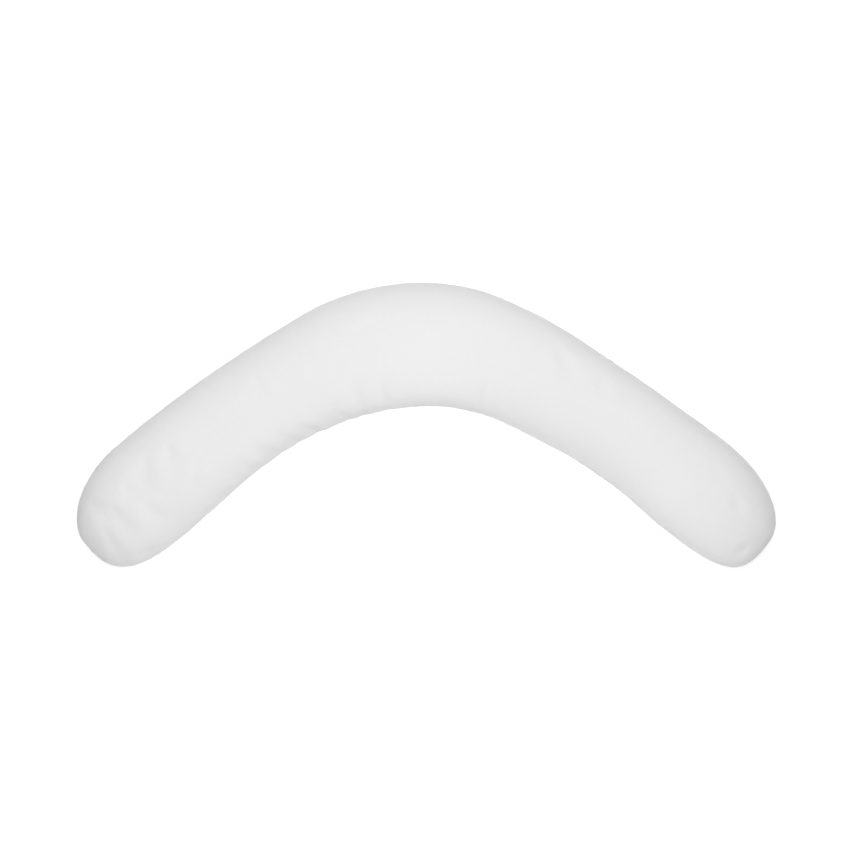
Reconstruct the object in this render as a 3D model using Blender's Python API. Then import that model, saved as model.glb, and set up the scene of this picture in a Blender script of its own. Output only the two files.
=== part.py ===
"""Crescent body pillow: a cotton cover of two like panels, seamed all round and stuffed full.

It lies on its back on z = 0, with the outside of its bend towards +Y and an arm to each side
along X. The body is one loft: every section stands square to one bent axis and takes its sizes
from the SECTIONS table. The seam's pinch and the main creases are then pressed into the loft.
Units are metres. A station is a distance along the axis from the middle of the bend, negative
on the -X arm. Across is measured square to the axis, positive towards the outside of the bend.
"""

import math
from collections import namedtuple

import bmesh
import bpy
from mathutils import Vector

# The axis: it leaves the bend at up to ARM_ANGLE on each side, over about BEND_LENGTH.
ARM_ANGLE = math.radians(39.4)
BEND_LENGTH = 0.300
BEND_MIDDLE = -0.012
AXIS_STEPS = 64

# The seam stands at seam_height, the crown rises above it, and outer and inner are half widths.
# The crown rounds down to a side's seam by that side's fullness: 2 is an ellipse, and a higher
# one stays flat further out.
SIZES = "station outer inner rise seam_height outer_fullness inner_fullness"
Section = namedtuple("Section", SIZES)
SECTIONS = (
    Section(-0.690, 0.116, 0.127, 0.092, 0.076, 3.2, 2.1),
    Section(-0.600, 0.119, 0.122, 0.092, 0.077, 3.0, 2.5),
    Section(-0.500, 0.119, 0.115, 0.091, 0.077, 2.7, 2.8),
    Section(-0.400, 0.118, 0.114, 0.091, 0.077, 2.6, 2.8),
    Section(-0.300, 0.121, 0.119, 0.094, 0.079, 2.6, 2.9),
    Section(-0.170, 0.132, 0.130, 0.103, 0.084, 2.6, 3.4),
    Section(-0.060, 0.136, 0.134, 0.109, 0.087, 2.6, 3.7),
    Section(0.070, 0.133, 0.131, 0.108, 0.087, 2.6, 3.7),
    Section(0.180, 0.121, 0.126, 0.100, 0.083, 2.8, 3.0),
    Section(0.300, 0.113, 0.122, 0.093, 0.078, 3.0, 2.2),
    Section(0.430, 0.112, 0.111, 0.090, 0.076, 2.8, 1.9),
    Section(0.540, 0.115, 0.109, 0.090, 0.076, 2.8, 2.0),
    Section(0.640, 0.118, 0.114, 0.092, 0.076, 2.8, 2.8),
)

# The rounded ends in plan: power 2 is an ellipse, and a higher one has a squarer shoulder.
End = namedtuple("End", "start reach outer_power inner_power")
LEFT_END = End(-0.690, -0.184, 1.85, 3.0)
RIGHT_END = End(0.640, 0.221, 2.15, 3.4)

# The underside rounds up to the seam in the same way, and would reach below the floor if it could.
UNDERSIDE_POWER = 2.4
UNDERSIDE_PRESS = 1.06

# The sewn edge pulls the cloth in along a narrow line.
SEAM_PINCH = 0.004
SEAM_SPREAD = 0.009

# Puckers start just off the seam on both faces, and dents lie on the upper face alone.
Crease = namedtuple("Crease", "station across to_station to_across depth spread")
PUCKERS = (
    Crease(-0.508, -0.105, -0.530, -0.084, 0.002, 0.012),
    Crease(-0.472, -0.107, -0.500, -0.082, 0.003, 0.012),
    Crease(-0.396, -0.108, -0.454, -0.078, 0.005, 0.013),
    Crease(-0.342, -0.109, -0.389, -0.082, 0.004, 0.013),
    Crease(-0.292, -0.112, -0.345, -0.081, 0.005, 0.013),
    Crease(-0.262, -0.114, -0.280, -0.090, 0.003, 0.012),
    Crease(-0.222, -0.118, -0.240, -0.086, 0.004, 0.014),
    Crease(-0.180, -0.122, -0.170, -0.068, 0.004, 0.015),
    Crease(-0.119, -0.126, -0.110, -0.070, 0.004, 0.015),
    Crease(-0.050, -0.128, -0.054, -0.094, 0.002, 0.016),
    Crease(0.164, -0.116, 0.136, -0.052, 0.002, 0.012),
    Crease(0.330, -0.112, 0.300, -0.080, 0.002, 0.015),
    Crease(-0.794, -0.100, -0.762, -0.104, 0.004, 0.011),
    Crease(0.822, -0.030, 0.812, -0.062, 0.004, 0.012),
)
DENTS = (
    Crease(-0.800, 0.058, -0.772, -0.019, 0.002, 0.020),
    Crease(-0.812, -0.012, -0.821, -0.063, 0.002, 0.014),
    Crease(-0.767, 0.018, -0.772, -0.061, 0.002, 0.015),
    Crease(-0.713, -0.018, -0.710, -0.055, 0.002, 0.014),
    Crease(-0.656, 0.044, -0.681, 0.012, 0.003, 0.020),
    Crease(-0.600, 0.046, -0.597, 0.025, 0.002, 0.016),
    Crease(-0.569, -0.022, -0.614, -0.081, 0.002, 0.018),
    Crease(-0.361, 0.053, -0.378, 0.014, 0.002, 0.016),
    Crease(-0.157, 0.052, -0.098, 0.049, 0.002, 0.015),
    Crease(0.254, 0.067, 0.304, 0.032, 0.002, 0.016),
)
PUCKER_START = 0.030
# A crease fades towards its ends, like a half wave with this share of it cut off at each end.
CREASE_CUT = 0.15

# How finely the loft is cut. Rings stand closer where the inside of the bend is puckered.
PUCKERED_FROM, PUCKERED_TO = -0.540, -0.090
PUCKERED_STEP = 0.0095
PLAIN_STEP = 0.0165
END_RINGS = 11
RING_POINTS = 44
SEAM_CROWDING = 0.55

COVER_WHITE = (0.86, 0.86, 0.86, 1.0)
COVER_ROUGHNESS = 0.9


def clear_scene():
    for thing in list(bpy.data.objects):
        bpy.data.objects.remove(thing)


def heading(station):
    """The way the axis points: along +X at the bend, turned down towards -Y on both arms."""
    return -ARM_ANGLE * math.tanh((station - BEND_MIDDLE) / BEND_LENGTH)


def axis_place(station):
    """Where the axis runs at a station, summed in short steps from the middle of the bend."""
    step = station / AXIS_STEPS
    x = y = 0.0
    for i in range(AXIS_STEPS):
        way = heading((i + 0.5) * step)
        x += step * math.cos(way)
        y += step * math.sin(way)
    return x, y


def table_value(column, station):
    """A smooth cubic through one column of SECTIONS."""
    rows = [(row.station, getattr(row, column)) for row in SECTIONS]
    station = min(max(station, rows[0][0]), rows[-1][0])
    upper = next(i for i in range(1, len(rows)) if station <= rows[i][0])
    slopes = []
    for i in (upper - 1, upper):
        before = rows[max(i - 1, 0)]
        after = rows[min(i + 1, len(rows) - 1)]
        slopes.append((after[1] - before[1]) / (after[0] - before[0]))
    (x0, y0), (x1, y1) = rows[upper - 1], rows[upper]
    span = x1 - x0
    t = (station - x0) / span
    return (
        y0 * (1 + 2 * t) * (1 - t) ** 2
        + y1 * t * t * (3 - 2 * t)
        + slopes[0] * span * t * (1 - t) ** 2
        - slopes[1] * span * t * t * (1 - t)
    )


def rounded(share, power):
    """How much of a size is left at this share of the way to a rounded edge."""
    return max(0.0, 1.0 - share**power) ** (1.0 / power)


def end_share(station):
    """How far into a rounded end a station lies, 0 along the body and 1 at a tip."""
    shares = [(station - end.start) / end.reach for end in (LEFT_END, RIGHT_END)]
    return min(max(0.0, *shares), 1.0)


def plan_power(station, side):
    """How square the plan's outline is in the rounded end that this side of a station is in."""
    end = LEFT_END if station < 0 else RIGHT_END
    return end.outer_power if side >= 0 else end.inner_power


def section_point(station, angle):
    """(across, z) on the section's outline: angle 0 is the outer seam, 180 degrees the inner."""
    side = math.cos(angle)
    share = end_share(station)
    power = plan_power(station, side)
    side *= rounded(share, power)
    to_edge = min((share**power + abs(side) ** power) ** (1.0 / power), 1.0)
    across = side * table_value("outer" if side >= 0 else "inner", station)
    seam_height = table_value("seam_height", station)
    if math.sin(angle) >= 0:
        outward = (1 + side / max(to_edge, 1e-6)) / 2
        inner = table_value("inner_fullness", station)
        fullness = inner + (table_value("outer_fullness", station) - inner) * outward
        return across, seam_height + table_value("rise", station) * rounded(to_edge, fullness)
    return across, seam_height * (1 - UNDERSIDE_PRESS * rounded(to_edge, UNDERSIDE_POWER))


def placed(station, across, z):
    x, y = axis_place(station)
    way = heading(station)
    return Vector((x - across * math.sin(way), y + across * math.cos(way), z))


def ring_stations():
    """The stations of the rings, from the tip of the -X arm to the tip of the +X arm."""
    quarter = math.pi / 2
    shares = [math.sin(quarter * (i + 0.5) / (END_RINGS + 0.5)) for i in range(END_RINGS)]
    left = [LEFT_END.start + LEFT_END.reach * share for share in reversed(shares)]
    right = [RIGHT_END.start + RIGHT_END.reach * share for share in shares]
    body = []
    station = LEFT_END.start
    while station < RIGHT_END.start:
        body.append(station)
        puckered = PUCKERED_FROM < station < PUCKERED_TO
        station += PUCKERED_STEP if puckered else PLAIN_STEP
    return left + body + right


def ring_angles():
    """Angles round a ring, closer together at the two seams than on the crown and underside."""
    even = [2 * math.pi * i / RING_POINTS for i in range(RING_POINTS)]
    return [angle - SEAM_CROWDING * math.sin(2 * angle) / 2 for angle in even]


def crease_depth(crease, station, across):
    """How deep a crease presses at a place on the cover, seen in plan."""
    start = Vector((crease.station, crease.across))
    run = Vector((crease.to_station, crease.to_across)) - start
    place = Vector((station, across)) - start
    along = min(max(place.dot(run) / run.length_squared, 0.0), 1.0)
    away = (place - run * along).length / crease.spread
    fade = math.sin(math.pi * (CREASE_CUT + (1 - 2 * CREASE_CUT) * along))
    return crease.depth * fade * math.exp(-away * away)


def pressed_depth(station, across, above_seam):
    """How far the sewn edge and the creases draw the cover in at one place."""
    depth = SEAM_PINCH * math.exp(-((above_seam / SEAM_SPREAD) ** 2))
    off_seam = min(abs(above_seam) / PUCKER_START, 1.0)
    for crease in PUCKERS:
        depth += off_seam * crease_depth(crease, station, across)
    if above_seam > 0:
        for crease in DENTS:
            depth += crease_depth(crease, station, across)
    return depth


def tip_place(end):
    """(station, across, z) of an end's tip, which lies on the seam."""
    station = end.start + end.reach
    return station, 0.0, table_value("seam_height", station)


def loft_pillow():
    """The stuffed form as a bmesh, and the place of each vertex on the cover."""
    form = bmesh.new()
    places = {}
    rings = []
    for station in ring_stations():
        ring = []
        for angle in ring_angles():
            across, z = section_point(station, angle)
            vertex = form.verts.new(placed(station, across, z))
            places[vertex] = (station, across, z - table_value("seam_height", station))
            ring.append(vertex)
        rings.append(ring)
    tips = []
    for end in (LEFT_END, RIGHT_END):
        station, across, z = tip_place(end)
        tip = form.verts.new(placed(station, across, z))
        places[tip] = (station, across, 0.0)
        tips.append(tip)
    for i in range(RING_POINTS):
        after = (i + 1) % RING_POINTS
        for ring, ahead in zip(rings, rings[1:]):
            form.faces.new((ring[i], ring[after], ahead[after], ahead[i]))
        form.faces.new((tips[0], rings[0][after], rings[0][i]))
        form.faces.new((tips[1], rings[-1][i], rings[-1][after]))
    bmesh.ops.recalc_face_normals(form, faces=form.faces)
    form.normal_update()
    return form, places


def press_cover(form, places):
    """Presses the seam and the creases in along the cover's normals."""
    inward = {v: -v.normal * pressed_depth(*places[v]) for v in form.verts if v.co.z > 0}
    for vertex, shift in inward.items():
        vertex.co += shift


def rest_on_floor(form):
    """Flattens what would reach below the floor and centres the pillow over the origin."""
    for vertex in form.verts:
        vertex.co.z = max(vertex.co.z, 0.0)
    xs = [v.co.x for v in form.verts]
    ys = [v.co.y for v in form.verts]
    centre = Vector(((min(xs) + max(xs)) / 2, (min(ys) + max(ys)) / 2, 0))
    for vertex in form.verts:
        vertex.co -= centre


def cover_material():
    """White cotton cloth, matt."""
    cloth = bpy.data.materials.new("white_cotton")
    cloth.use_nodes = True
    shader = cloth.node_tree.nodes["Principled BSDF"]
    shader.inputs["Base Color"].default_value = COVER_WHITE
    shader.inputs["Roughness"].default_value = COVER_ROUGHNESS
    shader.inputs["Metallic"].default_value = 0.0
    return cloth


def build_pillow(collection):
    form, places = loft_pillow()
    press_cover(form, places)
    rest_on_floor(form)
    mesh = bpy.data.meshes.new("pillow")
    form.to_mesh(mesh)
    form.free()
    mesh.shade_smooth()
    pillow = bpy.data.objects.new("pillow", mesh)
    pillow.data.materials.append(cover_material())
    collection.objects.link(pillow)


clear_scene()
body_pillow = bpy.data.collections.new("body_pillow")
bpy.context.scene.collection.children.link(body_pillow)
build_pillow(body_pillow)
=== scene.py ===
"""Crescent body pillow: the stuffed cotton cover, the stitches of its seam, and a plain setting.

It stands in the frame's own place, with its span along X, the outside of its bend towards +Y,
and z = 0 at the floor. Units are metres. A station is a distance along the pillow's bent axis
from the middle of the bend, negative on the -X arm. Across is measured square to the axis,
positive towards the outside of the bend.
"""

import math
from collections import namedtuple

import bpy
import numpy as np
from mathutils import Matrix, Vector, kdtree, noise


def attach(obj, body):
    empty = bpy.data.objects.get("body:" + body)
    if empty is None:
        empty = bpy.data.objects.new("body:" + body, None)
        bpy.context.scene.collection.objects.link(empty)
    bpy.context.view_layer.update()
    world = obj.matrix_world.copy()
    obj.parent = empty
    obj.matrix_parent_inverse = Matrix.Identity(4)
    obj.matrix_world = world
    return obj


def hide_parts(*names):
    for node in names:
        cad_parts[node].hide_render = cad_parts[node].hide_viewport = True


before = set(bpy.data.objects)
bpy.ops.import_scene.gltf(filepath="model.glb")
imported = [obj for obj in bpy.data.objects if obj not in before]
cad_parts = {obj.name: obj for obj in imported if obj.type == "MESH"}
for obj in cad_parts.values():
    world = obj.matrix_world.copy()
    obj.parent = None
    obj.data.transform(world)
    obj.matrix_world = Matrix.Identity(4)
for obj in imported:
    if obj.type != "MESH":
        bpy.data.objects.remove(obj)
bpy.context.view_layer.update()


# ---- The stuffed form ----
# Two like crescent panels are sewn together round their edge and stuffed tight with fibre. The
# stuffing crowns every section, draws the sides in to the seam, and lies flat on the floor only
# where it bears on it.

ARM_ANGLE = math.radians(39.4)
BEND_LENGTH = 0.300
BEND_MIDDLE = -0.012

# A crown rounds down to a side's seam by that side's fullness: 2 is an ellipse, and a higher one
# stays flat further out. The powers of the ends square their outline in plan in the same way.
SIZES = "station outer inner rise seam_height outer_fullness inner_fullness"
Section = namedtuple("Section", SIZES)
SECTIONS = (
    Section(-0.690, 0.116, 0.127, 0.092, 0.076, 3.2, 2.1),
    Section(-0.600, 0.119, 0.122, 0.092, 0.077, 3.0, 2.5),
    Section(-0.500, 0.119, 0.115, 0.091, 0.077, 2.7, 2.8),
    Section(-0.400, 0.118, 0.114, 0.091, 0.077, 2.6, 2.8),
    Section(-0.300, 0.121, 0.119, 0.094, 0.079, 2.6, 2.9),
    Section(-0.170, 0.132, 0.130, 0.103, 0.084, 2.6, 3.4),
    Section(-0.060, 0.136, 0.134, 0.109, 0.087, 2.6, 3.7),
    Section(0.070, 0.133, 0.131, 0.108, 0.087, 2.6, 3.7),
    Section(0.180, 0.121, 0.126, 0.100, 0.083, 2.8, 3.0),
    Section(0.300, 0.113, 0.122, 0.093, 0.078, 3.0, 2.2),
    Section(0.430, 0.112, 0.111, 0.090, 0.076, 2.8, 1.9),
    Section(0.540, 0.115, 0.109, 0.090, 0.076, 2.8, 2.0),
    Section(0.640, 0.118, 0.114, 0.092, 0.076, 2.8, 2.8),
)

End = namedtuple("End", "start reach outer_power inner_power")
LEFT_END = End(-0.690, -0.184, 1.85, 3.0)
RIGHT_END = End(0.640, 0.221, 2.15, 3.4)

# The underside rounds up to the seam in the same way, and would reach below the floor if it could.
UNDERSIDE_POWER = 2.4
UNDERSIDE_PRESS = 1.06
# The least that a length is divided by.
TINY = 1e-9


def heading(station):
    """The way the axis points: along +X at the bend, turned down towards -Y on both arms."""
    return -ARM_ANGLE * np.tanh((station - BEND_MIDDLE) / BEND_LENGTH)


AXIS_REACH, AXIS_STEPS = 1.0, 4000
AXIS_STATIONS = np.linspace(-AXIS_REACH, AXIS_REACH, AXIS_STEPS + 1)
AXIS_STEP = AXIS_STATIONS[1] - AXIS_STATIONS[0]
AXIS_X = np.cumsum(np.cos(heading(AXIS_STATIONS))) * AXIS_STEP
AXIS_Y = np.cumsum(np.sin(heading(AXIS_STATIONS))) * AXIS_STEP


def table_curve(name, station):
    """A smooth cubic through one column of SECTIONS, held level past its ends."""
    rows = np.array([(row.station, getattr(row, name)) for row in SECTIONS])
    places, values = rows[:, 0], rows[:, 1]
    slopes = np.empty_like(values)
    slopes[1:-1] = (values[2:] - values[:-2]) / (places[2:] - places[:-2])
    slopes[0] = (values[1] - values[0]) / (places[1] - places[0])
    slopes[-1] = (values[-1] - values[-2]) / (places[-1] - places[-2])
    station = np.clip(station, places[0], places[-1])
    upper = np.clip(np.searchsorted(places, station), 1, len(places) - 1)
    lower = upper - 1
    span = places[upper] - places[lower]
    t = (station - places[lower]) / span
    return (
        values[lower] * (1 + 2 * t) * (1 - t) ** 2
        + values[upper] * t * t * (3 - 2 * t)
        + slopes[lower] * span * t * (1 - t) ** 2
        - slopes[upper] * span * t * t * (1 - t)
    )


def rounded(share, power):
    """How much of a size is left at this share of the way to a rounded edge."""
    return np.maximum(0.0, 1.0 - np.clip(share, 0.0, 1.0) ** power) ** (1.0 / power)


def plan_norm(along, sideways, end):
    """The distance from an end's middle as a share of the way to its rounded outline."""
    power = np.where(sideways >= 0, end.outer_power, end.inner_power)
    return (np.abs(along) ** power + np.abs(sideways) ** power) ** (1 / power)


def cover_place(station, side, upper):
    """(across, z) on the cover, where side is a share of the half width, outer side positive."""
    left = np.maximum((station - LEFT_END.start) / LEFT_END.reach, 0.0)
    right = np.maximum((station - RIGHT_END.start) / RIGHT_END.reach, 0.0)
    to_edge = np.where(left > 0, plan_norm(left, side, LEFT_END), plan_norm(right, side, RIGHT_END))
    width = np.where(side >= 0, table_curve("outer", station), table_curve("inner", station))
    seam_height = table_curve("seam_height", station)
    outward = (1 + side / np.maximum(to_edge, TINY)) / 2
    inner = table_curve("inner_fullness", station)
    fullness = inner + (table_curve("outer_fullness", station) - inner) * outward
    crown = seam_height + table_curve("rise", station) * rounded(to_edge, fullness)
    underside = seam_height * (1 - UNDERSIDE_PRESS * rounded(to_edge, UNDERSIDE_POWER))
    return width * side, np.where(upper, crown, underside)


def placed(station, across, z):
    """Points in the row frame, with the plan's box not yet centred."""
    x = np.interp(station, AXIS_STATIONS, AXIS_X) - across * np.sin(heading(station))
    y = np.interp(station, AXIS_STATIONS, AXIS_Y) + across * np.cos(heading(station))
    return np.stack([x, y, z], axis=-1)


# Each panel is a grid of quads: lines square to the axis along the body, and lines that bend
# round the tip in the ends, so that no pole stands anywhere on the cover.
ACROSS_CELLS = 46
BODY_CELLS = 184
END_CELLS = 34
SEAM_CROWDING = 0.40
TIP_CROWDING = 0.30


def crowded(share, crowding):
    """A share from -1 to 1, with its steps drawn closer together near both ends."""
    return share + crowding * np.sin(math.pi * share) / math.pi


def sideways_steps():
    """The lines along a panel as shares of its half width, from the outer seam to the inner."""
    return crowded(np.linspace(1, -1, ACROSS_CELLS + 1), SEAM_CROWDING)[None, :]


def end_grid(end):
    """(station, side) over a rounded end, row by row from its start to its tip.

    The grid is a square laid over half a ball, then drawn out radially to the end's outline.
    """
    along = crowded(np.arange(1, END_CELLS + 1) / END_CELLS, TIP_CROWDING)[:, None]
    disc_x = along * np.sqrt(1 - sideways_steps() ** 2 / 2)
    disc_y = sideways_steps() * np.sqrt(1 - along**2 / 2)
    radius = np.minimum(np.hypot(disc_x, disc_y), 1.0)
    to_edge = np.sin(2 * np.arcsin(radius / math.sqrt(2)))
    drawn_out = to_edge / plan_norm(disc_x, disc_y, end)
    return end.start + end.reach * disc_x * drawn_out, disc_y * drawn_out


def panel_grid():
    """(station, side) of every point of a panel, from the -X tip to the +X tip."""
    left, right = end_grid(LEFT_END), end_grid(RIGHT_END)
    body_station = np.linspace(LEFT_END.start, RIGHT_END.start, BODY_CELLS + 1)[:, None]
    steps = sideways_steps()
    body_side = np.sign(steps) * np.sin(2 * np.arcsin(np.abs(steps) / math.sqrt(2)))
    station, side = np.broadcast_arrays(body_station, body_side)
    return (
        np.concatenate([left[0][::-1], station, right[0]]),
        np.concatenate([left[1][::-1], side, right[1]]),
    )


STATION_GRID, SIDE_GRID = panel_grid()
ROWS, COLUMNS = STATION_GRID.shape
on_seam = np.zeros((ROWS, COLUMNS), bool)
on_seam[0, :] = on_seam[-1, :] = True
on_seam[:, 0] = on_seam[:, -1] = True
upper_index = np.arange(ROWS * COLUMNS).reshape(ROWS, COLUMNS)
lower_index = upper_index.copy()
lower_index[~on_seam] = ROWS * COLUMNS + np.arange((~on_seam).sum())

station = np.concatenate([STATION_GRID.ravel(), STATION_GRID[~on_seam]])
side = np.concatenate([SIDE_GRID.ravel(), SIDE_GRID[~on_seam]])
across, height = cover_place(station, side, np.arange(len(station)) < ROWS * COLUMNS)
points = placed(station, across, height)
box_middle = (points.min(axis=0) + points.max(axis=0)) / 2
points[:, :2] -= box_middle[:2]


def grid_faces(index):
    """The quads between the points of a grid."""
    return np.stack([index[:-1, :-1], index[:-1, 1:], index[1:, 1:], index[1:, :-1]], axis=-1)


upper_faces = grid_faces(upper_index).reshape(-1, 4)
lower_faces = grid_faces(lower_index).reshape(-1, 4)[:, ::-1]
faces = np.concatenate([upper_faces, lower_faces])

mesh = bpy.data.meshes.new("pillow_cover")
mesh.from_pydata(points.tolist(), [], faces.tolist())
mesh.update()
cover = bpy.data.objects.new("pillow_cover", mesh)
bpy.context.scene.collection.objects.link(cover)


def read_points(mesh):
    flat = np.empty(len(mesh.vertices) * 3)
    mesh.vertices.foreach_get("co", flat)
    return flat.reshape(-1, 3)


def write_points(mesh, points):
    mesh.vertices.foreach_set("co", points.ravel())
    mesh.update()


def read_normals(mesh):
    flat = np.empty(len(mesh.vertices) * 3, np.float32)
    mesh.vertex_normals.foreach_get("vector", flat)
    return flat.reshape(-1, 3).astype(float)


# The cloth lies in creases where the panels' edges are longer than the bend lets them be. Those
# on the inside of the -X arm are the deepest. Each one is a trough between two raised shoulders.
# Puckers start just off the seam on both panels, and dents lie on the upper panel alone.
Crease = namedtuple("Crease", "station across to_station to_across depth spread")
PUCKERS = (
    Crease(-0.508, -0.112, -0.530, -0.084, 0.0026, 0.011),
    Crease(-0.472, -0.113, -0.500, -0.082, 0.0026, 0.011),
    Crease(-0.407, -0.115, -0.450, -0.084, 0.0039, 0.012),
    Crease(-0.352, -0.120, -0.387, -0.094, 0.0039, 0.012),
    Crease(-0.300, -0.125, -0.350, -0.091, 0.0042, 0.012),
    Crease(-0.255, -0.126, -0.289, -0.096, 0.0026, 0.010),
    Crease(-0.224, -0.131, -0.260, -0.093, 0.0039, 0.011),
    Crease(-0.192, -0.130, -0.183, -0.065, 0.0034, 0.013),
    Crease(-0.122, -0.134, -0.118, -0.069, 0.0032, 0.013),
    Crease(-0.050, -0.133, -0.054, -0.096, 0.0020, 0.013),
    Crease(0.164, -0.126, 0.138, -0.054, 0.0020, 0.010),
    Crease(0.330, -0.118, 0.300, -0.082, 0.0010, 0.012),
    Crease(-0.794, -0.104, -0.762, -0.108, 0.0040, 0.009),
    Crease(0.822, -0.030, 0.812, -0.062, 0.0030, 0.010),
)
DENTS = (
    Crease(-0.800, 0.058, -0.779, -0.030, 0.0027, 0.020),
    Crease(-0.811, -0.018, -0.826, -0.081, 0.0023, 0.012),
    Crease(-0.767, 0.018, -0.772, -0.061, 0.0020, 0.013),
    Crease(-0.707, -0.017, -0.708, -0.057, 0.0030, 0.012),
    Crease(-0.710, 0.037, -0.724, 0.012, 0.0030, 0.011),
    Crease(-0.646, 0.045, -0.692, 0.012, 0.0034, 0.018),
    Crease(-0.593, 0.041, -0.607, 0.020, 0.0034, 0.013),
    Crease(-0.569, -0.022, -0.614, -0.081, 0.0020, 0.015),
    Crease(-0.361, 0.053, -0.378, 0.014, 0.0018, 0.014),
    Crease(-0.304, 0.035, -0.290, 0.030, 0.0016, 0.011),
    Crease(-0.410, -0.025, -0.389, -0.033, 0.0016, 0.011),
    Crease(-0.157, 0.052, -0.098, 0.049, 0.0031, 0.013),
    Crease(0.254, 0.067, 0.304, 0.032, 0.0026, 0.014),
    Crease(0.358, 0.049, 0.378, 0.048, 0.0018, 0.013),
    Crease(0.656, 0.051, 0.676, 0.043, 0.0022, 0.012),
    Crease(0.730, 0.032, 0.751, 0.016, 0.0022, 0.012),
)
SEAM_PINCH, SEAM_SPREAD = 0.004, 0.010
PUCKER_START = 0.030
# A crease fades towards its ends, like a half wave with this share of it cut off at each end, and
# it opens out along its run. Its shoulders stand this many spreads off, at this share of its depth.
CREASE_CUT = 0.15
CREASE_OPENING = 0.7
SHOULDER_PLACE, SHOULDER_SHARE = 1.7, 0.35


def crease_depth(crease, station, across):
    """How deep a crease presses at each place on the cover, seen in plan."""
    run = np.array((crease.to_station - crease.station, crease.to_across - crease.across))
    length = np.hypot(*run)
    ahead, aside = station - crease.station, across - crease.across
    along = np.clip((ahead * run[0] + aside * run[1]) / length**2, 0.0, 1.0)
    off = np.hypot(ahead - along * run[0], aside - along * run[1])
    away = off / (crease.spread * (1 + CREASE_OPENING * (along - 0.5)))
    fade = np.sin(math.pi * (CREASE_CUT + (1 - 2 * CREASE_CUT) * along))
    shoulders = SHOULDER_SHARE * np.exp(-((away - SHOULDER_PLACE) ** 2))
    return crease.depth * fade * (np.exp(-(away**2)) - shoulders)


def press(cover, depth):
    """Moves each point of the cover in along its normal."""
    write_points(cover.data, read_points(cover.data) - depth[:, None] * read_normals(cover.data))


above_seam = points[:, 2] - table_curve("seam_height", station)
press(cover, SEAM_PINCH * np.exp(-((above_seam / SEAM_SPREAD) ** 2)))
off_seam = np.minimum(np.abs(above_seam) / PUCKER_START, 1.0)
press(cover, off_seam * sum(crease_depth(crease, station, across) for crease in PUCKERS))

# The stuffing blows the cover up against its seam, which the thread holds where it is. Beside the
# seam the cloth is slack, more so at some places than at others, and it gathers there. No point
# moves further than the cap, and the tight cloth of the crown hardly moves.
Slack = namedtuple("Slack", "station inner outer")
SLACKS = (
    Slack(-0.84, 0.3, 0.3),
    Slack(-0.62, 0.3, 0.1),
    Slack(-0.50, 0.8, 0.0),
    Slack(-0.30, 1.0, 0.0),
    Slack(-0.10, 0.9, 0.0),
    Slack(0.06, 0.4, 0.0),
    Slack(0.30, 0.3, 0.0),
    Slack(0.60, 0.2, 0.1),
    Slack(0.84, 0.3, 0.3),
)
SLACK_MOST = 0.035
SLACK_REACH = 0.055
CROWN_TIGHTENING = 0.004
START_INSET = 0.001
COTTON_CLOTH = {
    "quality": 5,
    "mass": 0.3,
    "air_damping": 4.0,
    "tension_stiffness": 20.0,
    "compression_stiffness": 20.0,
    "shear_stiffness": 8.0,
    "bending_stiffness": 1.5,
    "use_pressure": True,
    "uniform_pressure_force": 4.0,
}
STUFFING_FRAMES = 20
MOVE_CAP = 0.008
GATHER_HEIGHT, GATHER_SPREAD = 0.048, 0.026
CROWN_SHARE = 0.06


def slackness(station, side):
    """How slack the cloth is beside the seam, from 0 to 1 where it gathers most."""
    rows = np.array(SLACKS)
    inner = np.interp(station, rows[:, 0], rows[:, 1])
    outer = np.interp(station, rows[:, 0], rows[:, 2])
    return outer + (inner - outer) * (1 - side) / 2


def stuff(cover, held, slack, kept):
    """Blows the cover up against its seam and keeps this share of the shape that it takes."""
    begin = read_points(cover.data) - START_INSET * read_normals(cover.data)
    write_points(cover.data, begin)
    seam = cover.vertex_groups.new(name="seam")
    seam.add(np.flatnonzero(held).tolist(), 1.0, "REPLACE")
    tightness = cover.vertex_groups.new(name="tightness")
    for vertex, share in enumerate(slack):
        tightness.add([vertex], 1.0 - float(share), "REPLACE")
    stuffing = cover.modifiers.new("stuffing", "CLOTH")
    cloth = stuffing.settings
    for name, value in COTTON_CLOTH.items():
        setattr(cloth, name, value)
    cloth.effector_weights.gravity = 0.0
    cloth.vertex_group_mass = seam.name
    cloth.vertex_group_shrink = tightness.name
    cloth.shrink_min = -SLACK_MOST
    cloth.shrink_max = CROWN_TIGHTENING
    stuffing.collision_settings.use_collision = False
    stuffing.point_cache.frame_start = 1
    stuffing.point_cache.frame_end = STUFFING_FRAMES
    for frame_number in range(1, STUFFING_FRAMES + 1):
        bpy.context.scene.frame_set(frame_number)
    shaped = cover.evaluated_get(bpy.context.evaluated_depsgraph_get())
    moved = read_points(shaped.data) - begin
    cover.modifiers.remove(stuffing)
    cover.vertex_groups.clear()
    bpy.context.scene.frame_set(1)
    length = np.linalg.norm(moved, axis=1, keepdims=True)
    capped = moved * np.tanh(length / MOVE_CAP) * MOVE_CAP / np.maximum(length, TINY)
    write_points(cover.data, begin + capped * kept[:, None])


held = np.zeros(len(points), bool)
held[upper_index[on_seam]] = True
slack = slackness(station, side)
gathered = np.exp(-(((np.abs(above_seam) - GATHER_HEIGHT) / GATHER_SPREAD) ** 2))
slack_by_seam = slack * np.exp(-((above_seam / SLACK_REACH) ** 2))
stuff(cover, held, slack_by_seam, CROWN_SHARE + slack * gathered)
press(cover, (above_seam > 0) * sum(crease_depth(crease, station, across) for crease in DENTS))


# The weave follows the cloth as it was cut, so the cover's map is its two panels laid flat again,
# with as little stretch as they allow. The threads run along the span and square to it.
FLAT_CLOTH = "flat_cloth"


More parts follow.
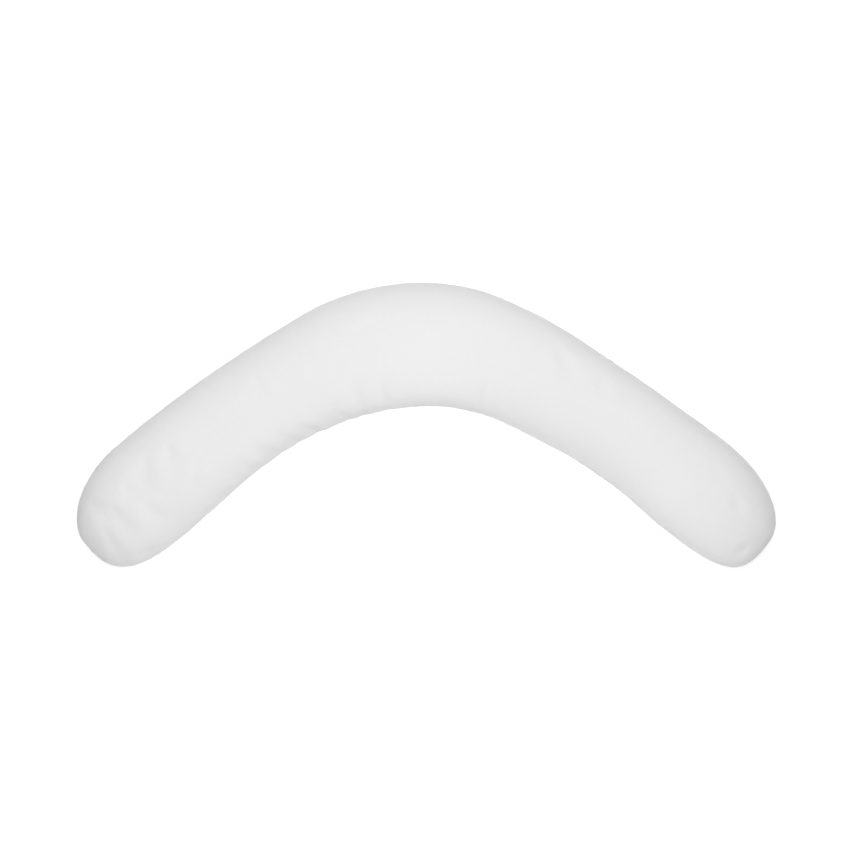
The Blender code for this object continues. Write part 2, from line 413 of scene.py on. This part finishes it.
def unpick(cover):
    """Lays both panels flat beside each other, cut apart along the seam, at no set size."""
    for edge in cover.data.edges:
        edge.use_seam = all(held[vertex] for vertex in edge.vertices)
    cover.data.uv_layers.new(name=FLAT_CLOTH)
    bpy.context.view_layer.objects.active = cover
    bpy.ops.object.mode_set(mode="EDIT")
    bpy.ops.mesh.select_all(action="SELECT")
    bpy.ops.uv.unwrap(method="MINIMUM_STRETCH")
    bpy.ops.object.mode_set(mode="OBJECT")


def girth(corners):
    """The length of all the quads' sides together."""
    return np.linalg.norm(corners - np.roll(corners, 1, axis=1), axis=-1).sum()


def map_cloth(cover):
    """Gives the cover its map of the flat cloth, in metres and turned to lie as the panels do."""
    unpick(cover)
    layer = cover.data.uv_layers[FLAT_CLOTH]
    flat = np.empty(faces.size * 2, np.float32)
    layer.uv.foreach_get("vector", flat)
    flat = flat.reshape(-1, 4, 2).astype(float)
    shaped = read_points(cover.data)[faces]
    cut = len(upper_faces)
    for shift, panel in enumerate((slice(0, cut), slice(cut, None))):
        laid = flat[panel] - flat[panel].mean(axis=(0, 1))
        plan = shaped[panel][..., :2] - shaped[panel][..., :2].mean(axis=(0, 1))
        turn, _, back = np.linalg.svd(laid.reshape(-1, 2).T @ plan.reshape(-1, 2))
        size = girth(shaped[panel]) / girth(laid)
        flat[panel] = size * laid @ (turn @ back) + (0, shift)
    layer.uv.foreach_set("vector", flat.ravel())


map_cloth(cover)


def smoothed(cover):
    """Rounds the cover off with one subdivision, which stays in its mesh."""
    rounding = cover.modifiers.new("rounding", "SUBSURF")
    rounding.levels = rounding.render_levels = 1
    graph = bpy.context.evaluated_depsgraph_get()
    cover.data = bpy.data.meshes.new_from_object(cover.evaluated_get(graph))
    cover.modifiers.remove(rounding)


smoothed(cover)

# The thread draws the seam down into a narrow groove, and the cloth ripples finely beside it.
# Elsewhere the fibre inside is never quite even, and it lifts the cloth here and there.
GROOVE_DEPTH, GROOVE_WIDTH = 0.0022, 0.0040
RIPPLE_HEIGHT, RIPPLE_LENGTH, RIPPLE_REACH = 0.0011, 0.012, 0.010
# A ripple keeps its course this far from the seam, and the two panels ripple differently.
RIPPLE_RUN = 0.05
PANELS_APART = 9.0
Lump = namedtuple("Lump", "size lift")
LUMPS = (Lump(0.140, 0.0012), Lump(0.055, 0.0005), Lump(0.026, 0.0002))
# All of it fades out where the cover bears on the floor.
FLOOR_FADE = 0.020


def seam_loop():
    """The cover's points on the seam, in order round it."""
    outer, inner = upper_index[:, 0], upper_index[-2::-1, -1]
    right_tip, left_tip = upper_index[-1, 1:], upper_index[0, -2:0:-1]
    return np.concatenate([outer, right_tip, inner, left_tip])


def seam_places(shaped):
    """(distance from the seam, distance along it) of every point."""
    line = shaped[seam_loop()]
    steps = np.linalg.norm(np.diff(line, axis=0), axis=1)
    run = np.concatenate([[0], np.cumsum(steps)])
    tree = kdtree.KDTree(len(line))
    for i, place in enumerate(line):
        tree.insert(place, i)
    tree.balance()
    nearest = [tree.find(place) for place in shaped]
    return np.array([found[2] for found in nearest]), run[[found[1] for found in nearest]]


def lumps(shaped):
    """How far the uneven fibre lifts the cloth at each place."""
    lift = np.zeros(len(shaped))
    for lump in LUMPS:
        swell = np.array([noise.noise(Vector(place) / lump.size) for place in shaped])
        lift += lump.lift * swell
    return lift


def ripples(off_seam, along_seam, upper):
    """The fine ripples of the cloth where the stitches hold it."""
    along, away = along_seam / RIPPLE_LENGTH, off_seam / RIPPLE_RUN
    places = np.stack([along, PANELS_APART * upper, away], axis=1)
    swing = np.array([noise.noise(Vector(place)) for place in places])
    near = off_seam / RIPPLE_REACH
    return RIPPLE_HEIGHT * swing * near * np.exp(1 - near)


shaped = read_points(cover.data)
off_seam, along_seam = seam_places(shaped)
upper = read_normals(cover.data)[:, 2] > 0
lift = lumps(shaped) + ripples(off_seam, along_seam, upper)
lift -= GROOVE_DEPTH * np.exp(-((off_seam / GROOVE_WIDTH) ** 2))
press(cover, -lift * np.clip(shaped[:, 2] / FLOOR_FADE, 0, 1))

shaped = read_points(cover.data)
shaped[:, 2] = np.maximum(shaped[:, 2], 0.0)
write_points(cover.data, shaped)
cover.data.shade_smooth()


def linear(hex_colour):
    """An sRGB hex colour as linear RGBA."""
    shares = [int(hex_colour[i : i + 2], 16) / 255 for i in (1, 3, 5)]
    return [c / 12.92 if c <= 0.04045 else ((c + 0.055) / 1.055) ** 2.4 for c in shares] + [1.0]


def add_node(tree, kind, inputs=None, **settings):
    """Adds a node with these settings, and fills its inputs with values or links."""
    node = tree.nodes.new(kind)
    for name, value in settings.items():
        setattr(node, name, value)
    for socket, value in (inputs or {}).items():
        if isinstance(value, bpy.types.NodeSocket):
            tree.links.new(value, node.inputs[socket])
        else:
            node.inputs[socket].default_value = value
    return node


# White cotton percale: a plain weave of fine combed thread, washed and not calendered. To the eye
# it is a clean matte white with a slight bloom at its edges, and here and there a thicker thread.
# Real threads stand 0.28 mm apart. They are drawn four times as coarse, or they would never show.
PERCALE_WHITE = "#F0F0F0"
PERCALE_SHADE = "#EAEAEA"
THREAD_SPACING = 0.0011
THREAD_RELIEF = 0.00012
THREAD_CRIMP = 0.5
SLUB_LENGTH, SLUB_WIDTH = 0.045, 0.0016
# The pattern of the slubs runs from 0 to 2. These stretches of it span the shade and roughness.
SHADED_SLUBS = (0.4, 1.6)
ROUGHENED_SLUBS = (0.7, 1.3)
ROUGHNESS_RANGE = (0.84, 0.96)
CREPE_SIZE, CREPE_RELIEF, CREPE_DETAIL = 0.011, 0.0004, 3.0
SHEEN, SHEEN_ROUGHNESS, SPECULAR = 0.12, 0.45, 0.25


def percale():
    """Threads that cross over and under, slubs both ways, and the faint crepe left by washing."""
    material = bpy.data.materials.new("white_cotton_percale")
    material.use_nodes = True
    tree = material.node_tree
    shader = tree.nodes["Principled BSDF"]
    shader.inputs["Sheen Weight"].default_value = SHEEN
    shader.inputs["Sheen Roughness"].default_value = SHEEN_ROUGHNESS
    shader.inputs["Specular IOR Level"].default_value = SPECULAR

    flat = add_node(tree, "ShaderNodeUVMap", uv_map=FLAT_CLOTH).outputs["UV"]
    turns = {0: flat, "Scale": math.pi / THREAD_SPACING}
    threads = add_node(tree, "ShaderNodeVectorMath", turns, operation="SCALE").outputs["Vector"]
    split = add_node(tree, "ShaderNodeSeparateXYZ", {0: threads})
    waves = []
    for way in split.outputs[:2]:
        waves.append(add_node(tree, "ShaderNodeMath", {0: way}, operation="SINE").outputs[0])
    crossing = {0: waves[0], 1: waves[1]}
    over = add_node(tree, "ShaderNodeMath", crossing, operation="MULTIPLY").outputs[0]
    strands = []
    for wave, crimp in zip(waves, (THREAD_CRIMP, -THREAD_CRIMP)):
        body = add_node(tree, "ShaderNodeMath", {0: wave}, operation="ABSOLUTE").outputs[0]
        crimped = {0: over, 1: crimp, 2: 1.0}
        rise = add_node(tree, "ShaderNodeMath", crimped, operation="MULTIPLY_ADD").outputs[0]
        both = {0: body, 1: rise}
        strands.append(add_node(tree, "ShaderNodeMath", both, operation="MULTIPLY").outputs[0])
    higher = {0: strands[0], 1: strands[1]}
    weave = add_node(tree, "ShaderNodeMath", higher, operation="MAXIMUM").outputs[0]

    slubs = []
    for size in ((1 / SLUB_WIDTH, 1 / SLUB_LENGTH, 1), (1 / SLUB_LENGTH, 1 / SLUB_WIDTH, 1)):
        stretched = add_node(tree, "ShaderNodeMapping", {"Vector": flat, "Scale": size}).outputs[0]
        spun = {"Vector": stretched, "Scale": 1.0}
        slubs.append(add_node(tree, "ShaderNodeTexNoise", spun).outputs["Fac"])
    slub = add_node(tree, "ShaderNodeMath", {0: slubs[0], 1: slubs[1]}, operation="ADD").outputs[0]
    tone = {"Value": slub, "From Min": SHADED_SLUBS[0], "From Max": SHADED_SLUBS[1]}
    share = add_node(tree, "ShaderNodeMapRange", tone).outputs["Result"]
    shades = {0: share, 6: linear(PERCALE_SHADE), 7: linear(PERCALE_WHITE)}
    colour = add_node(tree, "ShaderNodeMix", shades, data_type="RGBA").outputs[2]
    tree.links.new(colour, shader.inputs["Base Color"])

    bloom = {"Value": slub, "From Min": ROUGHENED_SLUBS[0], "From Max": ROUGHENED_SLUBS[1]}
    bloom.update({"To Min": ROUGHNESS_RANGE[0], "To Max": ROUGHNESS_RANGE[1]})
    roughness = add_node(tree, "ShaderNodeMapRange", bloom).outputs["Result"]
    tree.links.new(roughness, shader.inputs["Roughness"])

    place = add_node(tree, "ShaderNodeTexCoord").outputs["Object"]
    crepe = {"Vector": place, "Scale": 1 / CREPE_SIZE, "Detail": CREPE_DETAIL}
    crumple = add_node(tree, "ShaderNodeTexNoise", crepe).outputs["Fac"]
    soft = {"Height": crumple, "Distance": CREPE_RELIEF}
    creped = add_node(tree, "ShaderNodeBump", soft).outputs["Normal"]
    fine = {"Height": weave, "Distance": THREAD_RELIEF, "Normal": creped}
    relief = add_node(tree, "ShaderNodeBump", fine).outputs["Normal"]
    tree.links.new(relief, shader.inputs["Normal"])
    return material


cover.data.materials.clear()
cover.data.materials.append(percale())
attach(cover, "root")
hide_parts("pillow")


# ---- The seam's stitches ----
# The panels are sewn inside out with white polyester thread, then turned and stuffed. The stuffing
# strains the seam, so that its lockstitches show as short bars across the bottom of the groove.

STITCH_PITCH = 0.003
STITCH_LENGTH = 0.0032
THREAD_WIDTH = 0.0007
STITCH_PROUD = 0.0009
STITCH_TILT = 0.10
STITCH_SIDES, STITCH_RINGS = 6, 6
STITCH_SEED = 3
THREAD_WHITE = "#F2F2F0"
THREAD_ROUGHNESS = 0.5


def seam_thread():
    """Polyester sewing thread: smoother than the cloth, and a little glossy."""
    material = bpy.data.materials.new("white_polyester_thread")
    material.use_nodes = True
    tree = material.node_tree
    shader = tree.nodes["Principled BSDF"]
    shader.inputs["Roughness"].default_value = THREAD_ROUGHNESS
    place = add_node(tree, "ShaderNodeTexCoord").outputs["Object"]
    found = add_node(tree, "ShaderNodeTexNoise", {"Vector": place, "Scale": 1 / STITCH_PITCH})
    shades = {0: found.outputs["Fac"], 6: linear(PERCALE_SHADE), 7: linear(THREAD_WHITE)}
    colour = add_node(tree, "ShaderNodeMix", shades, data_type="RGBA").outputs[2]
    tree.links.new(colour, shader.inputs["Base Color"])
    return material


def seam_line():
    """The bottom of the groove as a closed line, with the way out of the seam at each point."""
    loop = seam_loop()
    line = read_points(cover.data)[loop]
    mesh = bpy.data.meshes.new("seam_line")
    rounds = [(i, (i + 1) % len(loop)) for i in range(len(loop))]
    outward = read_normals(cover.data)[loop]
    mesh.from_pydata((line + STITCH_PROUD * outward).tolist(), rounds, [])
    way_out = mesh.attributes.new("way_out", "FLOAT_VECTOR", "POINT")
    way_out.data.foreach_set("vector", outward.ravel())
    seam = bpy.data.objects.new("seam_line", mesh)
    bpy.context.scene.collection.objects.link(seam)
    return seam


def stitch_tree(thread):
    """Lays a short bar of thread across the line at every stitch."""
    tree = bpy.data.node_groups.new("stitches", "GeometryNodeTree")
    sockets = tree.interface
    sockets.new_socket("Geometry", in_out="INPUT", socket_type="NodeSocketGeometry")
    for name in ("Pitch", "Stitch Length", "Thread Width", "Tilt"):
        sockets.new_socket(name, in_out="INPUT", socket_type="NodeSocketFloat")
    sockets.new_socket("Seed", in_out="INPUT", socket_type="NodeSocketInt")
    sockets.new_socket("Geometry", in_out="OUTPUT", socket_type="NodeSocketGeometry")
    given = add_node(tree, "NodeGroupInput").outputs
    line = add_node(tree, "GeometryNodeMeshToCurve", {"Mesh": given["Geometry"]}).outputs["Curve"]
    spaced = {"Curve": line, "Length": given["Pitch"]}
    stations = add_node(tree, "GeometryNodeResampleCurve", spaced, mode="LENGTH").outputs["Curve"]
    # A ball one unit across, which each stitch's scale draws out to its real size.
    ball = {"Segments": STITCH_SIDES, "Rings": STITCH_RINGS, "Radius": 0.5}
    bar = add_node(tree, "GeometryNodeMeshUVSphere", ball).outputs["Mesh"]
    tangent = add_node(tree, "GeometryNodeInputTangent").outputs["Tangent"]
    ahead = add_node(tree, "FunctionNodeAlignRotationToVector", {"Vector": tangent}, axis="X")
    stored = {"Name": "way_out"}
    out = add_node(tree, "GeometryNodeInputNamedAttribute", stored, data_type="FLOAT_VECTOR")
    turned = {"Rotation": ahead.outputs["Rotation"], "Vector": out.outputs["Attribute"]}
    upright = add_node(tree, "FunctionNodeAlignRotationToVector", turned, axis="Z", pivot_axis="X")
    width, length = given["Thread Width"], given["Stitch Length"]
    size = add_node(tree, "ShaderNodeCombineXYZ", {"X": width, "Y": length, "Z": width}).outputs[0]
    laid = {"Points": stations, "Instance": bar, "Scale": size}
    laid["Rotation"] = upright.outputs["Rotation"]
    bars = add_node(tree, "GeometryNodeInstanceOnPoints", laid).outputs["Instances"]
    tilt, seed = given["Tilt"], given["Seed"]
    least = add_node(tree, "ShaderNodeMath", {0: tilt, 1: -1.0}, operation="MULTIPLY").outputs[0]
    swing = add_node(tree, "FunctionNodeRandomValue", {2: least, 3: tilt, "Seed": seed})
    turn = add_node(tree, "ShaderNodeCombineXYZ", {"Z": swing.outputs[1]}).outputs[0]
    tilted = add_node(tree, "GeometryNodeRotateInstances", {"Instances": bars, "Rotation": turn})
    real = add_node(tree, "GeometryNodeRealizeInstances", {0: tilted.outputs[0]}).outputs[0]
    soft = add_node(tree, "GeometryNodeSetShadeSmooth", {0: real}).outputs[0]
    finished = add_node(tree, "GeometryNodeSetMaterial", {"Geometry": soft, "Material": thread})
    add_node(tree, "NodeGroupOutput", {"Geometry": finished.outputs[0]})
    return tree


def sew(seam, thread):
    """The stitches along the seam line as one plain mesh."""
    tree = stitch_tree(thread)
    sizes = {
        "Pitch": STITCH_PITCH,
        "Stitch Length": STITCH_LENGTH,
        "Thread Width": THREAD_WIDTH,
        "Tilt": STITCH_TILT,
        "Seed": STITCH_SEED,
    }
    sewing = seam.modifiers.new("sewing", "NODES")
    sewing.node_group = tree
    for socket in tree.interface.items_tree:
        if socket.in_out == "INPUT" and socket.name in sizes:
            sewing[socket.identifier] = sizes[socket.name]
    graph = bpy.context.evaluated_depsgraph_get()
    mesh = bpy.data.meshes.new_from_object(seam.evaluated_get(graph))
    stitches = bpy.data.objects.new("seam_stitches", mesh)
    bpy.context.scene.collection.objects.link(stitches)
    seam.modifiers.remove(sewing)
    bpy.data.objects.remove(seam)
    return stitches


stitches = sew(seam_line(), seam_thread())
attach(stitches, "root")


# ---- The setting ----
# A wide white floor, lit from all round, by one large soft lamp overhead and by two faint ones
# low down at the sides. The camera looks straight down at the face that shows, with +Y at the top.

FLOOR_SIZE = 30.0
FLOOR_WHITE = "#FBFBFB"
FLOOR_ROUGHNESS = 0.9
FLOOR_GLOW = 0.32
GLOW_FROM, GLOW_TO = 1.2, 3.5
SKY_STRENGTH = 0.268
Lamp = namedtuple("Lamp", "name place size power")
LAMPS = (
    Lamp("lamp_overhead", (0.0, 0.2, 3.3), 1.45, 76.0),
    Lamp("lamp_south", (0.0, -2.5, 0.8), 0.7, 4.2),
    Lamp("lamp_north", (0.0, 2.5, 0.8), 0.7, 3.0),
)
# The camera takes in this width at the level of the seam.
CAMERA_HEIGHT = 4.0
VIEW_WIDTH = 1.835
SEAM_LEVEL = 0.080
SENSOR_MM = 36.0
CAMERA_SHIFT = -0.003


def white_floor():
    """Matt white board, lit up from within where the pillow lies and plain further out."""
    material = bpy.data.materials.new("white_painted_board")
    material.use_nodes = True
    tree = material.node_tree
    shader = tree.nodes["Principled BSDF"]
    shader.inputs["Base Color"].default_value = linear(FLOOR_WHITE)
    shader.inputs["Roughness"].default_value = FLOOR_ROUGHNESS
    shader.inputs["Specular IOR Level"].default_value = 0.0
    shader.inputs["Emission Color"].default_value = (1.0, 1.0, 1.0, 1.0)
    place = add_node(tree, "ShaderNodeTexCoord").outputs["Object"]
    away = add_node(tree, "ShaderNodeVectorMath", {0: place}, operation="LENGTH").outputs["Value"]
    fade = {"Value": away, "From Min": GLOW_FROM, "From Max": GLOW_TO}
    fade.update({"To Min": FLOOR_GLOW, "To Max": 0.0})
    glow = add_node(tree, "ShaderNodeMapRange", fade, interpolation_type="SMOOTHSTEP")
    tree.links.new(glow.outputs["Result"], shader.inputs["Emission Strength"])
    return material


half = FLOOR_SIZE / 2
floor_mesh = bpy.data.meshes.new("floor")
floor_mesh.from_pydata(
    [(-half, -half, 0), (half, -half, 0), (half, half, 0), (-half, half, 0)], [], [(0, 1, 2, 3)]
)
floor_mesh.materials.append(white_floor())
floor = bpy.data.objects.new("floor", floor_mesh)
bpy.context.scene.collection.objects.link(floor)

world = bpy.data.worlds.new("soft_room")
world.use_nodes = True
sky = world.node_tree.nodes["Background"]
sky.inputs["Color"].default_value = (1.0, 1.0, 1.0, 1.0)
sky.inputs["Strength"].default_value = SKY_STRENGTH
bpy.context.scene.world = world
bpy.context.scene.view_settings.view_transform = "Standard"

for row in LAMPS:
    light = bpy.data.lights.new(row.name, "AREA")
    light.shape = "DISK"
    light.size = row.size
    light.energy = row.power
    lamp = bpy.data.objects.new(row.name, light)
    lamp.location = row.place
    lamp.rotation_euler = (-Vector(row.place)).to_track_quat("-Z", "Y").to_euler()
    lamp.visible_camera = False
    bpy.context.scene.collection.objects.link(lamp)

camera_data = bpy.data.cameras.new("camera")
camera_data.sensor_width = SENSOR_MM
camera_data.lens = SENSOR_MM * (CAMERA_HEIGHT - SEAM_LEVEL) / VIEW_WIDTH
camera = bpy.data.objects.new("camera", camera_data)
camera.location = (CAMERA_SHIFT, 0.0, CAMERA_HEIGHT)
bpy.context.scene.collection.objects.link(camera)
bpy.context.scene.camera = camera
